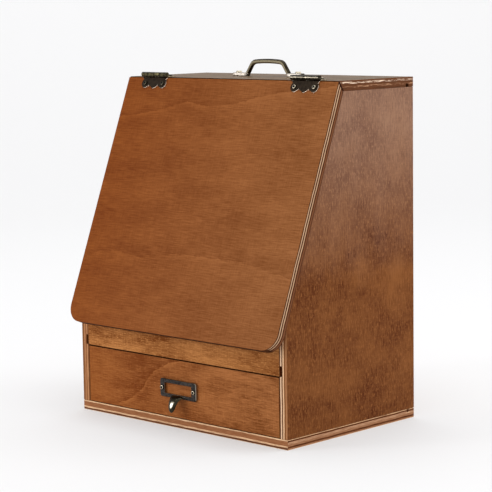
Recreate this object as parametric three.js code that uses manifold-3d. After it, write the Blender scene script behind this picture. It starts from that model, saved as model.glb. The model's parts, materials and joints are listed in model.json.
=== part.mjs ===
// Sloping-front artist's box in stained plywood: a carcass with a fixed carry handle, a lid that
// hangs on two hinges along the top edge, and one drawer with a label-holder pull.
// Millimetres, +Z up. The origin is the centre of the base's underside, and the front faces -Y.
import * as THREE from 'three';
import * as BufferGeometryUtils from 'three/addons/utils/BufferGeometryUtils.js';
import Module from 'manifold-3d';

const wasm = await Module();
wasm.setup();

// ---------------------------------------------------------------- driving dimensions
const WIDTH = 266;
const DEPTH = 175;
const HEIGHT = 317;
const BOARD = 9;
const JOINT_GAP = 0.125; // glue line between two fixed boards
const SEAT_GAP = 0.1; // between a fitting and the face that it is screwed to
const RUNNING_GAP = 0.3; // between the lid and the sides' front edges
const MITRE_GAP = 0.6; // between the lid and the top board, along the ridge
const PAST = 1; // a cutter runs this far past the face that it opens
const BLIND = 1; // wood left under a screw hole that doesn't go through

const LID_SLOPE = THREE.MathUtils.degToRad(21.15); // from the vertical
const LID_LENGTH = 244.25;
const LID_OVERHANG = 1;
const LID_CORNER = 16;
const APEX_Y = 70.5; // the ridge where lid and top board meet, from the front edge

const DADO_DEPTH = 3;
const SHELF_Z = 64.25;
const RAIL_TOP_Z = 109.5;
const BACK_PANEL = 3.5;
const BACK_GROOVE = 4;
const BACK_INSET = 8.5; // centre of the back panel's groove, from the back edge

const DRAWER_GAP = 0.75;
const DRAWER_TOP_GAP = 1.25;
const DRAWER_LENGTH = 156;
const DRAWER_WALL = 6;
const DRAWER_WALL_TOP = 54;
const DRAWER_BOTTOM = 3;
const DRAWER_BOTTOM_Z = 14;
const DRAWER_GROOVE = 2.5;
const DRAWER_RABBET = 5;

const PIN_OFFSET = 2.4; // hinge pin, from the faces of the lid and the top board
const PIN_RADIUS = 1.1;
const PIN_CLEARANCE = 0.1;
const HINGE_LENGTH = 34;
const HINGE_CENTRE = 96.5; // from the middle of the box
const KNUCKLES = 4;
const KNUCKLE_GAP = 0.3;
const LEAF_THICKNESS = 1;
const LEAF_HOLE_X = 11.75;
const LEAF_HOLE_REACH = 8.3; // from the pin
const LEAF_LOBE = 4.8;

const HANDLE_Y = 124;
const HANDLE_HALF_LENGTH = 44.7;
const HANDLE_FOOT_LENGTH = 20;
const HANDLE_FOOT_WIDTH = 8;
const HANDLE_FOOT_THICKNESS = 3.2;
const HANDLE_SCREW_X = 38;
const HANDLE_BAR_RADIUS = 2.3;
const HANDLE_BAR_SIDES = 8;

const PULL_WIDTH = 46.5;
const PULL_HEIGHT = 16.8;
const PULL_DEPTH = 2.6;
const PULL_Z = 36.5;
const PULL_WINDOW_WIDTH = 35;
const PULL_WINDOW_HEIGHT = 10;
const PULL_SCREW_X = 20.4;

const SMALL_SCREW = { headRadius: 2.1, headHeight: 1.2, shankRadius: 0.9, length: 7 };
const HANDLE_SCREW = { headRadius: 2.9, headHeight: 1.6, shankRadius: 1.3, length: 10 };
const BASE_SCREW = { headRadius: 3.2, shankRadius: 1.5, length: 32, sunk: 0.4 };
const BASE_SCREW_INSETS = [35, 140]; // from the front edge
const DOWEL = { radius: 2.5, length: 20, inTop: 5.5 };
const DOWEL_INSETS = [95, 150];
const HOLE_GAP = 0.3; // around a screw's shank or a dowel
const SCREW_POINT = 2.5; // length of a screw's point, in shank radii

const ROUND = 16; // sides of a small round piece

// ---------------------------------------------------------------- derived places
const halfMitre = (Math.PI / 2 - LID_SLOPE) / 2;
const pinToApex = PIN_OFFSET * Math.tan(halfMitre); // along either face
const mitreSetback = BOARD * Math.tan(halfMitre);
const pinY = APEX_Y - pinToApex;
const pinZ = HEIGHT + PIN_OFFSET;
const topUnderside = HEIGHT - BOARD;
const innerHalfWidth = WIDTH / 2 - BOARD;
const backGrooveY = DEPTH - BACK_INSET;
const drawerHalfWidth = innerHalfWidth - DRAWER_GAP;
const drawerBaseZ = BOARD + DRAWER_GAP;
const drawerTopZ = SHELF_Z - DRAWER_TOP_GAP;
const barrelRadius = PIN_OFFSET - SEAT_GAP;

// ---------------------------------------------------------------- materials
const stainedPly = { color: 0x8a5229, roughness: 0.5, metalness: 0 };
const paleStainedPly = { color: 0x9a6234, roughness: 0.55, metalness: 0 };
const rawPly = { color: 0xc79a66, roughness: 0.75, metalness: 0 };
const beech = { color: 0xcaa472, roughness: 0.7, metalness: 0 };
const antiqueBronze = { color: 0x4a4232, roughness: 0.38, metalness: 0.9 };
const brassScrew = { color: 0xa89468, roughness: 0.35, metalness: 0.95 };
const steelScrew = { color: 0x9a9c9e, roughness: 0.4, metalness: 0.95 };

// ---------------------------------------------------------------- solids
function solidOf(geometry) {
  const bare = geometry.clone();
  bare.deleteAttribute('normal');
  bare.deleteAttribute('uv');
  const merged = BufferGeometryUtils.mergeVertices(bare, 1e-4);
  const vertProperties = new Float32Array(merged.attributes.position.array);
  const triVerts = new Uint32Array(merged.index.array);
  return new wasm.Manifold(new wasm.Mesh({ numProp: 3, vertProperties, triVerts }));
}

function geometryOf(solid) {
  const result = solid.getMesh();
  const geometry = new THREE.BufferGeometry();
  geometry.setAttribute('position', new THREE.BufferAttribute(new Float32Array(result.vertProperties), 3));
  geometry.setIndex(new THREE.BufferAttribute(new Uint32Array(result.triVerts), 1));
  geometry.computeVertexNormals();
  return geometry;
}

function join(...geometries) {
  const solids = geometries.map(solidOf);
  return geometryOf(solids.reduce((whole, next) => whole.add(next)));
}

function cut(geometry, tools) {
  return geometryOf(tools.map(solidOf).reduce((whole, tool) => whole.subtract(tool), solidOf(geometry)));
}

// A box between two opposite corners.
function block([x0, y0, z0], [x1, y1, z1]) {
  const geometry = new THREE.BoxGeometry(x1 - x0, y1 - y0, z1 - z0);
  return geometry.translate((x0 + x1) / 2, (y0 + y1) / 2, (z0 + z1) / 2);
}

// An outline of [y, z] points, extruded from x0 to x1.
function prismAlongX(outline, x0, x1) {
  const shape = new THREE.Shape(outline.map(([y, z]) => new THREE.Vector2(y, z)));
  const geometry = new THREE.ExtrudeGeometry(shape, { depth: x1 - x0, bevelEnabled: false });
  const yzx = new THREE.Matrix4().makeBasis(
    new THREE.Vector3(0, 1, 0),
    new THREE.Vector3(0, 0, 1),
    new THREE.Vector3(1, 0, 0),
  );
  return geometry.applyMatrix4(yzx).translate(x0, 0, 0);
}

// A shape drawn in x and z, extruded from its face at y towards -Y.
function plateTowardsFront(shape, y, thickness) {
  const options = { depth: thickness, bevelEnabled: false, curveSegments: 10 };
  return new THREE.ExtrudeGeometry(shape, options).rotateX(Math.PI / 2).translate(0, y, 0);
}

function rodAlongX(radius, x0, x1, y = 0, z = 0) {
  const geometry = new THREE.CylinderGeometry(radius, radius, x1 - x0, ROUND);
  return geometry.rotateZ(Math.PI / 2).translate((x0 + x1) / 2, y, z);
}

function rodAlongY(radius, y0, y1, x, z) {
  const geometry = new THREE.CylinderGeometry(radius, radius, y1 - y0, ROUND);
  return geometry.translate(x, (y0 + y1) / 2, z);
}

function rodAlongZ(radius, z0, z1, x, y) {
  const geometry = new THREE.CylinderGeometry(radius, radius, z1 - z0, ROUND);
  return geometry.rotateX(Math.PI / 2).translate(x, y, (z0 + z1) / 2);
}

function roundedRectangle(width, height, radius) {
  const x = width / 2;
  const y = height / 2;
  const shape = new THREE.Shape();
  shape.moveTo(-x + radius, -y);
  shape.lineTo(x - radius, -y);
  shape.absarc(x - radius, -y + radius, radius, -Math.PI / 2, 0, false);
  shape.absarc(x - radius, y - radius, radius, 0, Math.PI / 2, false);
  shape.absarc(-x + radius, y - radius, radius, Math.PI / 2, Math.PI, false);
  shape.absarc(-x + radius, -y + radius, radius, Math.PI, Math.PI * 1.5, false);
  return shape;
}

function piece(name, geometry, finish) {
  const mesh = new THREE.Mesh(geometry, new THREE.MeshStandardMaterial(finish));
  mesh.name = name;
  return mesh;
}

// ---------------------------------------------------------------- fasteners
// A dome-headed wood screw that points down -Z, with its head's seat at z = 0.
function domeScrew({ headRadius, headHeight, shankRadius, length }) {
  const tipLength = shankRadius * SCREW_POINT;
  const profile = [
    new THREE.Vector2(0, -length),
    new THREE.Vector2(shankRadius, -length + tipLength),
    new THREE.Vector2(shankRadius, 0),
    new THREE.Vector2(headRadius, 0),
  ];
  const domeSteps = 3;
  for (let i = 0; i <= domeSteps; i += 1) {
    const angle = (i / domeSteps) * (Math.PI / 2);
    const rim = headHeight * 0.25;
    const radius = i === domeSteps ? 0 : headRadius * Math.cos(angle);
    profile.push(new THREE.Vector2(radius, rim + (headHeight - rim) * Math.sin(angle)));
  }
  const body = new THREE.LatheGeometry(profile, ROUND).rotateX(Math.PI / 2);
  const slotLength = headRadius * 1.05;
  const slotWidth = headRadius * 0.26;
  const slotBottom = headHeight * 0.35;
  const along = block(
    [-slotLength / 2, -slotWidth / 2, slotBottom],
    [slotLength / 2, slotWidth / 2, headHeight + PAST],
  );
  const across = along.clone().rotateZ(Math.PI / 2);
  return cut(body, [along, across]);
}

// A countersunk screw driven up +Z, with its head's flat face at z = 0.
function countersunkScrew({ headRadius, shankRadius, length }) {
  const profile = [
    new THREE.Vector2(0, 0),
    new THREE.Vector2(headRadius, 0),
    new THREE.Vector2(shankRadius, headRadius - shankRadius),
    new THREE.Vector2(shankRadius, length - shankRadius * SCREW_POINT),
    new THREE.Vector2(0, length),
  ];
  const body = new THREE.LatheGeometry(profile, ROUND).rotateX(Math.PI / 2);
  const slotHalfLength = headRadius * 0.6;
  const slotHalfWidth = 0.4;
  const slotDepth = 1.2;
  const slot = block([-slotHalfLength, -slotHalfWidth, -PAST], [slotHalfLength, slotHalfWidth, slotDepth]);
  return cut(body, [slot, slot.clone().rotateZ(Math.PI / 2)]);
}

// ---------------------------------------------------------------- carcass boards
function backPanelGroove(z0, z1, halfWidth) {
  const half = BACK_GROOVE / 2;
  return block([-halfWidth, backGrooveY - half, z0], [halfWidth, backGrooveY + half, z1]);
}

function baseBoard() {
  const board = block([-WIDTH / 2, 0, 0], [WIDTH / 2, DEPTH, BOARD]);
  const tools = [backPanelGroove(BOARD - DADO_DEPTH, BOARD + PAST, WIDTH)];
  const { headRadius, shankRadius } = BASE_SCREW;
  const seat = headRadius + HOLE_GAP;
  const throat = shankRadius + HOLE_GAP;
  const sinkDepth = 0.5; // straight wall below the screw head's cone
  const sink = new THREE.LatheGeometry([
    new THREE.Vector2(0, -PAST),
    new THREE.Vector2(seat, -PAST),
    new THREE.Vector2(seat, sinkDepth),
    new THREE.Vector2(throat, sinkDepth + seat - throat),
    new THREE.Vector2(throat, BOARD + PAST),
    new THREE.Vector2(0, BOARD + PAST),
  ], ROUND).rotateX(Math.PI / 2);
  for (const side of [-1, 1]) {
    for (const y of BASE_SCREW_INSETS) {
      tools.push(sink.clone().translate(side * (WIDTH - BOARD) / 2, y, 0));
    }
  }
  return cut(board, tools);
}

// The front edge follows the lid's inner face, a running gap behind it.
function sideBoard(side) {
  const behindLid = (BOARD + RUNNING_GAP) / Math.cos(LID_SLOPE);
  const slopeY = (z) => APEX_Y - (HEIGHT - z) * Math.tan(LID_SLOPE) + behindLid;
  const top = topUnderside - JOINT_GAP;
  const bottom = BOARD + JOINT_GAP;
  const noseZ = HEIGHT - (APEX_Y + behindLid) / Math.tan(LID_SLOPE);
  const outline = [[0, bottom], [DEPTH, bottom], [DEPTH, top], [slopeY(top), top], [0, noseZ]];
  const outer = side * WIDTH / 2;
  const inner = side * innerHalfWidth;
  const board = prismAlongX(outline, Math.min(outer, inner), Math.max(outer, inner));
  const dadoFloor = side * (innerHalfWidth + DADO_DEPTH);
  const pastInner = side * (innerHalfWidth - PAST);
  const x0 = Math.min(dadoFloor, pastInner);
  const x1 = Math.max(dadoFloor, pastInner);
  const half = BACK_GROOVE / 2;
  const tools = [
    block([x0, -PAST, SHELF_Z], [x1, DEPTH + PAST, SHELF_Z + BOARD + JOINT_GAP * 2]),
    block([x0, backGrooveY - half, 0], [x1, backGrooveY + half, HEIGHT]),
  ];
  const middle = side * (WIDTH - BOARD) / 2;
  const screwHole = BASE_SCREW.shankRadius + HOLE_GAP;
  for (const y of BASE_SCREW_INSETS) {
    tools.push(rodAlongZ(screwHole, 0, BASE_SCREW.length + BASE_SCREW.sunk + HOLE_GAP, middle, y));
  }
  for (const y of DOWEL_INSETS) {
    const floor = topUnderside + DOWEL.inTop - DOWEL.length - HOLE_GAP;
    tools.push(rodAlongZ(DOWEL.radius + HOLE_GAP, floor, HEIGHT, middle, y));
  }
  return cut(board, tools);
}

// The front end is mitred to meet the lid along the ridge.
function topBoard() {
  const outline = [
    [APEX_Y, HEIGHT],
    [APEX_Y + mitreSetback, topUnderside],
    [DEPTH, topUnderside],
    [DEPTH, HEIGHT],
  ];
  const board = prismAlongX(outline, -WIDTH / 2, WIDTH / 2);
  const tools = [backPanelGroove(0, topUnderside + DADO_DEPTH, WIDTH)];
  for (const side of [-1, 1]) {
    for (const y of DOWEL_INSETS) {
      const top = topUnderside + DOWEL.inTop + HOLE_GAP;
      tools.push(rodAlongZ(DOWEL.radius + HOLE_GAP, 0, top, side * (WIDTH - BOARD) / 2, y));
    }
    const handleHole = HANDLE_SCREW.shankRadius + HOLE_GAP;
    tools.push(rodAlongZ(handleHole, topUnderside + BLIND, HEIGHT + PAST, side * HANDLE_SCREW_X, HANDLE_Y));
    for (const end of [-1, 1]) {
      const x = side * HINGE_CENTRE + end * LEAF_HOLE_X;
      const hole = SMALL_SCREW.shankRadius + HOLE_GAP;
      tools.push(rodAlongZ(hole, topUnderside + BLIND, HEIGHT + PAST, x, pinY + LEAF_HOLE_REACH));
    }
  }
  return cut(board, tools);
}

function shelf() {
  const half = innerHalfWidth + DADO_DEPTH - JOINT_GAP;
  const front = BOARD + JOINT_GAP;
  const back = backGrooveY - BACK_GROOVE / 2 - JOINT_GAP;
  return block([-half, front, SHELF_Z + JOINT_GAP], [half, back, SHELF_Z + JOINT_GAP + BOARD]);
}

function frontRail() {
  const half = innerHalfWidth - JOINT_GAP;
  return block([-half, 0, SHELF_Z], [half, BOARD, RAIL_TOP_Z]);
}

function backPanel() {
  const half = innerHalfWidth + DADO_DEPTH - JOINT_GAP * 2;
  const y = backGrooveY - BACK_PANEL / 2;
  const z0 = BOARD - DADO_DEPTH + JOINT_GAP * 2;
  const z1 = topUnderside + DADO_DEPTH - JOINT_GAP * 2;
  return block([-half, y, z0], [half, y + BACK_PANEL, z1]);
}

// ---------------------------------------------------------------- carry handle
function handleFoot(side) {
  const bevel = 0.6;
  const length = HANDLE_FOOT_LENGTH - bevel * 2;
  const width = HANDLE_FOOT_WIDTH - bevel * 2;
  const shape = roundedRectangle(length, width, width / 2);
  const pad = new THREE.ExtrudeGeometry(shape, {
    depth: HANDLE_FOOT_THICKNESS - bevel * 2,
    bevelThickness: bevel,
    bevelSize: bevel,
    bevelSegments: 1,
    curveSegments: 6,
  });
  return pad.translate(side * (HANDLE_HALF_LENGTH - HANDLE_FOOT_LENGTH / 2), 0, bevel);
}

// The bow rises from both feet with inward-leaning legs to a slightly arched bar.
function handleBow() {
  const legFoot = new THREE.Vector3(26.9, 0, HANDLE_FOOT_THICKNESS / 2);
  const shoulder = new THREE.Vector3(19, 0, 13.2);
  const barEndRise = 0.4; // from the shoulder to the bar's straight part
  const crown = 15;
  const cornerRadius = 3.2;
  const down = legFoot.clone().sub(shoulder).normalize();
  const legTop = shoulder.clone().addScaledVector(down, cornerRadius);
  const barEnd = new THREE.Vector3(shoulder.x - cornerRadius, 0, shoulder.z + barEndRise);
  const mirror = (p) => new THREE.Vector3(-p.x, p.y, p.z);
  const path = new THREE.CurvePath();
  path.add(new THREE.LineCurve3(mirror(legFoot), mirror(legTop)));
  path.add(new THREE.QuadraticBezierCurve3(mirror(legTop), mirror(shoulder), mirror(barEnd)));
  path.add(new THREE.QuadraticBezierCurve3(mirror(barEnd), new THREE.Vector3(0, 0, crown), barEnd));
  path.add(new THREE.QuadraticBezierCurve3(barEnd, shoulder, legTop));
  path.add(new THREE.LineCurve3(legTop, legFoot));
  const section = new THREE.Shape();
  for (let i = 0; i < HANDLE_BAR_SIDES; i += 1) {
    const angle = ((i + 0.5) / HANDLE_BAR_SIDES) * Math.PI * 2;
    const x = HANDLE_BAR_RADIUS * Math.cos(angle);
    const y = HANDLE_BAR_RADIUS * Math.sin(angle);
    if (i === 0) section.moveTo(x, y);
    else section.lineTo(x, y);
  }
  section.closePath();
  return new THREE.ExtrudeGeometry(section, { steps: 30, extrudePath: path, bevelEnabled: false });
}

function carryHandle() {
  const whole = join(handleBow(), handleFoot(-1), handleFoot(1));
  const hole = HANDLE_SCREW.shankRadius + HOLE_GAP;
  const drill = (side) => rodAlongZ(hole, -PAST, HANDLE_FOOT_THICKNESS + PAST, side * HANDLE_SCREW_X, 0);
  const reach = HANDLE_HALF_LENGTH;
  const underside = block([-reach, -reach, -reach], [reach, reach, 0]);
  return cut(whole, [drill(-1), drill(1), underside]);
}

// ---------------------------------------------------------------- hinges
// One leaf, with the pin's axis along X through the origin and the plate hanging down -Z, its back
// on the wood at y = barrelRadius. The lid's leaf and the top board's leaf are the same casting.
function leafOutline() {
  const top = -(barrelRadius + RUNNING_GAP);
  const shoulder = 0.4; // the plate stops this far inside each end of the barrel
  const lobeStart = THREE.MathUtils.degToRad(49);
  const lobeEnd = THREE.MathUtils.degToRad(-125);
  const cusp = new THREE.Vector2(5.85, -10.5);
  const tip = new THREE.Vector2(0.9, -13.4);
  const shape = new THREE.Shape();
  shape.moveTo(HINGE_LENGTH / 2 - shoulder, top);
  shape.lineTo(-HINGE_LENGTH / 2 + shoulder, top);
  shape.absarc(-LEAF_HOLE_X, -LEAF_HOLE_REACH, LEAF_LOBE, Math.PI - lobeStart, Math.PI - lobeEnd, false);
  shape.lineTo(-cusp.x, cusp.y);
  shape.lineTo(-tip.x, tip.y);
  shape.lineTo(tip.x, tip.y);
  shape.lineTo(cusp.x, cusp.y);
  shape.absarc(LEAF_HOLE_X, -LEAF_HOLE_REACH, LEAF_LOBE, lobeEnd, lobeStart, false);
  return shape;
}

function hingeLeaf() {
  const plate = plateTowardsFront(leafOutline(), barrelRadius, LEAF_THICKNESS);
  const pitch = HINGE_LENGTH / KNUCKLES;
  const parts = [plate];
  for (let i = 0; i < KNUCKLES; i += 2) {
    const x0 = -HINGE_LENGTH / 2 + i * pitch + KNUCKLE_GAP / 2;
    const x1 = x0 + pitch - KNUCKLE_GAP;
    parts.push(rodAlongX(barrelRadius, x0, x1));
    parts.push(block([x0, barrelRadius - LEAF_THICKNESS, -barrelRadius - PAST], [x1, barrelRadius, 0]));
  }
  const tools = [rodAlongX(PIN_RADIUS + PIN_CLEARANCE, -HINGE_LENGTH, HINGE_LENGTH)];
  for (const x of [-LEAF_HOLE_X, LEAF_HOLE_X]) {
    tools.push(rodAlongY(SMALL_SCREW.shankRadius + HOLE_GAP, 0, barrelRadius + PAST, x, -LEAF_HOLE_REACH));
  }
  return cut(join(...parts), tools);
}

function hingePin() {
  return rodAlongX(PIN_RADIUS, -HINGE_LENGTH / 2, HINGE_LENGTH / 2);
}

// Two screws of a leaf, in the leaf's own frame.
function addLeafScrews(group, name) {
  for (const [index, x] of [-LEAF_HOLE_X, LEAF_HOLE_X].entries()) {
    const screw = piece(`${name}_screw_${index + 1}`, domeScrew(SMALL_SCREW), brassScrew);
    screw.position.set(x, barrelRadius - LEAF_THICKNESS - SEAT_GAP, -LEAF_HOLE_REACH);
    screw.rotation.x = Math.PI / 2;
    group.add(screw);
  }
}

// ---------------------------------------------------------------- lid
// Drawn upright with the hinge pin's axis at the origin and the outer face towards -Y.
function lidPanel() {
  const x = WIDTH / 2 + LID_OVERHANG;
  const top = -pinToApex;
  const bottom = top - LID_LENGTH;
  const shape = new THREE.Shape();
  shape.moveTo(-x, top);
  shape.lineTo(-x, bottom + LID_CORNER);
  shape.absarc(-x + LID_CORNER, bottom + LID_CORNER, LID_CORNER, Math.PI, Math.PI * 1.5, false);
  shape.absarc(x - LID_CORNER, bottom + LID_CORNER, LID_CORNER, Math.PI * 1.5, Math.PI * 2, false);
  shape.lineTo(x, top);
  const panel = plateTowardsFront(shape, PIN_OFFSET + BOARD, BOARD);
  const gap = MITRE_GAP / Math.cos(halfMitre);
  const reach = 2; // the cutter runs this many board thicknesses past both faces
  const mitre = prismAlongX([
    [PIN_OFFSET - BOARD * reach, top - gap + mitreSetback * reach],
    [PIN_OFFSET + BOARD * (1 + reach), top - gap - mitreSetback * (1 + reach)],
    [PIN_OFFSET + BOARD * (1 + reach), top + BOARD * reach],
    [PIN_OFFSET - BOARD * reach, top + BOARD * (1 + reach)],
  ], -WIDTH, WIDTH);
  const tools = [mitre];
  for (const side of [-1, 1]) {
    for (const end of [-1, 1]) {
      const screwX = side * HINGE_CENTRE + end * LEAF_HOLE_X;
      const hole = SMALL_SCREW.shankRadius + HOLE_GAP;
      tools.push(rodAlongY(hole, 0, PIN_OFFSET + BOARD - BLIND, screwX, -LEAF_HOLE_REACH));
    }
  }
  return cut(panel, tools);
}

// ---------------------------------------------------------------- drawer
function drawerFront() {
  const board = block([-drawerHalfWidth, 0, drawerBaseZ], [drawerHalfWidth, BOARD, drawerTopZ]);
  const inside = drawerHalfWidth - DRAWER_WALL - JOINT_GAP;
  const rabbetY = BOARD - DRAWER_RABBET;
  const tools = [
    block([-WIDTH, rabbetY, 0], [-inside, BOARD + PAST, HEIGHT]),
    block([inside, rabbetY, 0], [WIDTH, BOARD + PAST, HEIGHT]),
    block([-WIDTH, BOARD - DRAWER_GROOVE, DRAWER_BOTTOM_Z],
      [WIDTH, BOARD + PAST, DRAWER_BOTTOM_Z + DRAWER_BOTTOM + JOINT_GAP * 2]),
  ];
  for (const x of [-PULL_SCREW_X, PULL_SCREW_X]) {
    tools.push(rodAlongY(SMALL_SCREW.shankRadius + HOLE_GAP, -PAST, BOARD - BLIND, x, PULL_Z));
  }
  return cut(board, tools);
}

function drawerSide(side) {
  const outer = side * drawerHalfWidth;
  const inner = side * (drawerHalfWidth - DRAWER_WALL);
  const y0 = BOARD - DRAWER_RABBET + JOINT_GAP;
  const board = block(
    [Math.min(outer, inner), y0, drawerBaseZ],
    [Math.max(outer, inner), DRAWER_LENGTH, DRAWER_WALL_TOP],
  );
  const floor = side * (drawerHalfWidth - DRAWER_WALL + DRAWER_GROOVE);
  const pastInner = side * (drawerHalfWidth - DRAWER_WALL - PAST);
  const groove = block(
    [Math.min(floor, pastInner), 0, DRAWER_BOTTOM_Z],
    [Math.max(floor, pastInner), DEPTH, DRAWER_BOTTOM_Z + DRAWER_BOTTOM + JOINT_GAP * 2],
  );
  return cut(board, [groove]);
}

function drawerBack() {
  const half = drawerHalfWidth - DRAWER_WALL - JOINT_GAP;
  const z0 = DRAWER_BOTTOM_Z + DRAWER_BOTTOM + JOINT_GAP * 3;
  return block([-half, DRAWER_LENGTH - DRAWER_WALL, z0], [half, DRAWER_LENGTH, DRAWER_WALL_TOP]);
}

function drawerBottom() {
  const half = drawerHalfWidth - DRAWER_WALL + DRAWER_GROOVE - JOINT_GAP;
  const z0 = DRAWER_BOTTOM_Z + JOINT_GAP;
  return block([-half, BOARD - DRAWER_GROOVE + JOINT_GAP, z0], [half, DRAWER_LENGTH, z0 + DRAWER_BOTTOM]);
}

// ---------------------------------------------------------------- label pull
// The finger hook swells out of the plate's lower border, then turns down to a rounded tip.
function pullHook() {
  const root = new THREE.Vector3(0, -1.5, 30.4);
  const knee = new THREE.Vector3(0, -10.2, 29.2);
  const tip = new THREE.Vector3(0, -11.2, 16.6);
  const spine = new THREE.QuadraticBezierCurve3(root, knee, tip);
  const geometry = new THREE.CylinderGeometry(1, 1, 1, 16, 14);
  const position = geometry.attributes.position;
  const sideways = new THREE.Vector3(1, 0, 0);
  const roundedEnd = 0.8;
  for (let i = 0; i < position.count; i += 1) {
    const t = Math.sin((position.getY(i) + 0.5) * (Math.PI / 2));
    const beyond = Math.max(0, (t - roundedEnd) / (1 - roundedEnd));
    const closing = Math.max(0.15, Math.sqrt(1 - beyond * beyond));
    const halfWidth = THREE.MathUtils.lerp(9.2, 3, Math.pow(t, 0.65)) * closing;
    const halfThickness = THREE.MathUtils.lerp(1.1, 2.2, Math.min(1, t * 1.6)) * closing;
    const normal = new THREE.Vector3().crossVectors(sideways, spine.getTangent(t));
    const point = spine.getPoint(t);
    point.addScaledVector(sideways, position.getX(i) * halfWidth);
    point.addScaledVector(normal, position.getZ(i) * halfThickness);
    position.setXYZ(i, point.x, point.y, point.z);
  }
  return geometry;
}

function labelPull() {
  const bevel = 0.5;
  const outline = roundedRectangle(PULL_WIDTH - bevel * 2, PULL_HEIGHT - bevel * 2, 1.6);
  const plate = new THREE.ExtrudeGeometry(outline, {
    depth: PULL_DEPTH - bevel * 2,
    bevelThickness: bevel,
    bevelSize: bevel,
    bevelSegments: 1,
    curveSegments: 4,
  });
  plate.rotateX(Math.PI / 2).translate(0, -bevel, PULL_Z);
  const halfWindow = PULL_WINDOW_WIDTH / 2;
  const windowBottom = PULL_Z - PULL_WINDOW_HEIGHT / 2;
  const windowTop = PULL_Z + PULL_WINDOW_HEIGHT / 2;
  const cardLap = 1.2; // the card slot behind the frame reaches this far past the window
  const cardDepth = 1.1;
  const tools = [
    block([-halfWindow, -10, windowBottom], [halfWindow, 10, windowTop]),
    block([-halfWindow - cardLap, -cardDepth, windowBottom - cardLap], [halfWindow + cardLap, 10, DEPTH]),
    block([-WIDTH, 0, 0], [WIDTH, 10, HEIGHT]),
  ];
  for (const x of [-PULL_SCREW_X, PULL_SCREW_X]) {
    tools.push(rodAlongY(SMALL_SCREW.shankRadius + HOLE_GAP, -10, 10, x, PULL_Z));
  }
  return cut(join(plate, pullHook()), tools).translate(0, -SEAT_GAP, 0);
}

// ---------------------------------------------------------------- assembly
function addCarcass(group) {
  group.add(piece('base_board', baseBoard(), stainedPly));
  group.add(piece('left_side', sideBoard(-1), stainedPly));
  group.add(piece('right_side', sideBoard(1), stainedPly));
  group.add(piece('top_board', topBoard(), stainedPly));
  group.add(piece('shelf', shelf(), paleStainedPly));
  group.add(piece('front_rail', frontRail(), stainedPly));
  group.add(piece('back_panel', backPanel(), paleStainedPly));
  for (const [label, side] of [['left', -1], ['right', 1]]) {
    const middle = side * (WIDTH - BOARD) / 2;
    for (const [index, y] of BASE_SCREW_INSETS.entries()) {
      const screw = piece(`base_screw_${label}_${index + 1}`, countersunkScrew(BASE_SCREW), steelScrew);
      screw.position.set(middle, y, BASE_SCREW.sunk);
      group.add(screw);
    }
    for (const [index, y] of DOWEL_INSETS.entries()) {
      const z1 = topUnderside + DOWEL.inTop;
      const dowel = rodAlongZ(DOWEL.radius, z1 - DOWEL.length, z1, middle, y);
      group.add(piece(`top_dowel_${label}_${index + 1}`, dowel, beech));
    }
  }
}

function addHandle(group) {
  const handle = new THREE.Group();
  handle.position.set(0, HANDLE_Y, HEIGHT + SEAT_GAP);
  handle.add(piece('carry_handle', carryHandle(), antiqueBronze));
  for (const [label, side] of [['left', -1], ['right', 1]]) {
    const screw = piece(`handle_screw_${label}`, domeScrew(HANDLE_SCREW), brassScrew);
    screw.position.set(side * HANDLE_SCREW_X, 0, HANDLE_FOOT_THICKNESS + SEAT_GAP);
    handle.add(screw);
  }
  group.add(handle);
}

function addHinges(group, lid) {
  const turnOver = new THREE.Quaternion().setFromAxisAngle(new THREE.Vector3(0, 1, -1).normalize(), Math.PI);
  for (const [label, side] of [['left', -1], ['right', 1]]) {
    const fixed = new THREE.Group();
    fixed.position.set(side * HINGE_CENTRE, pinY, pinZ);
    fixed.quaternion.copy(turnOver);
    fixed.add(piece(`hinge_${label}_top_leaf`, hingeLeaf(), antiqueBronze));
    fixed.add(piece(`hinge_${label}_pin`, hingePin(), antiqueBronze));
    addLeafScrews(fixed, `hinge_${label}_top`);
    group.add(fixed);
    const moving = new THREE.Group();
    moving.position.x = side * HINGE_CENTRE;
    moving.add(piece(`hinge_${label}_lid_leaf`, hingeLeaf(), antiqueBronze));
    addLeafScrews(moving, `hinge_${label}_lid`);
    lid.add(moving);
  }
}

function addLid(group) {
  const lid = new THREE.Group();
  lid.position.set(0, pinY, pinZ);
  lid.rotation.x = -LID_SLOPE;
  lid.add(piece('lid_panel', lidPanel(), stainedPly));
  addHinges(group, lid);
  group.add(lid);
}

function addDrawer(group) {
  group.add(piece('drawer_front', drawerFront(), stainedPly));
  group.add(piece('drawer_side_left', drawerSide(-1), rawPly));
  group.add(piece('drawer_side_right', drawerSide(1), rawPly));
  group.add(piece('drawer_back', drawerBack(), rawPly));
  group.add(piece('drawer_bottom', drawerBottom(), rawPly));
  group.add(piece('label_pull', labelPull(), antiqueBronze));
  for (const [label, side] of [['left', -1], ['right', 1]]) {
    const screw = piece(`label_pull_screw_${label}`, domeScrew(SMALL_SCREW), brassScrew);
    screw.position.set(side * PULL_SCREW_X, -PULL_DEPTH - SEAT_GAP * 2, PULL_Z);
    screw.rotation.x = Math.PI / 2;
    group.add(screw);
  }
}

const artistBox = new THREE.Group();
artistBox.position.y = -DEPTH / 2;
addCarcass(artistBox);
addHandle(artistBox);
addLid(artistBox);
addDrawer(artistBox);

export default artistBox;
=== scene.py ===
# %% [markdown]
# # A sloping-front artist's box in stained plywood
# The box is a small carcass of 9 mm plywood with a lid that hangs from two hinges, a drawer with a label-
# holder pull and a carry handle. Its solid parts come from the imported frame, already in place and in
# metres. This lesson gives each of them its surface, and rebuilds the visible screws with finer shapes.

# %% Load the imported frame
import json
import math

import bmesh
import bpy
from mathutils import Matrix, Vector


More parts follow.
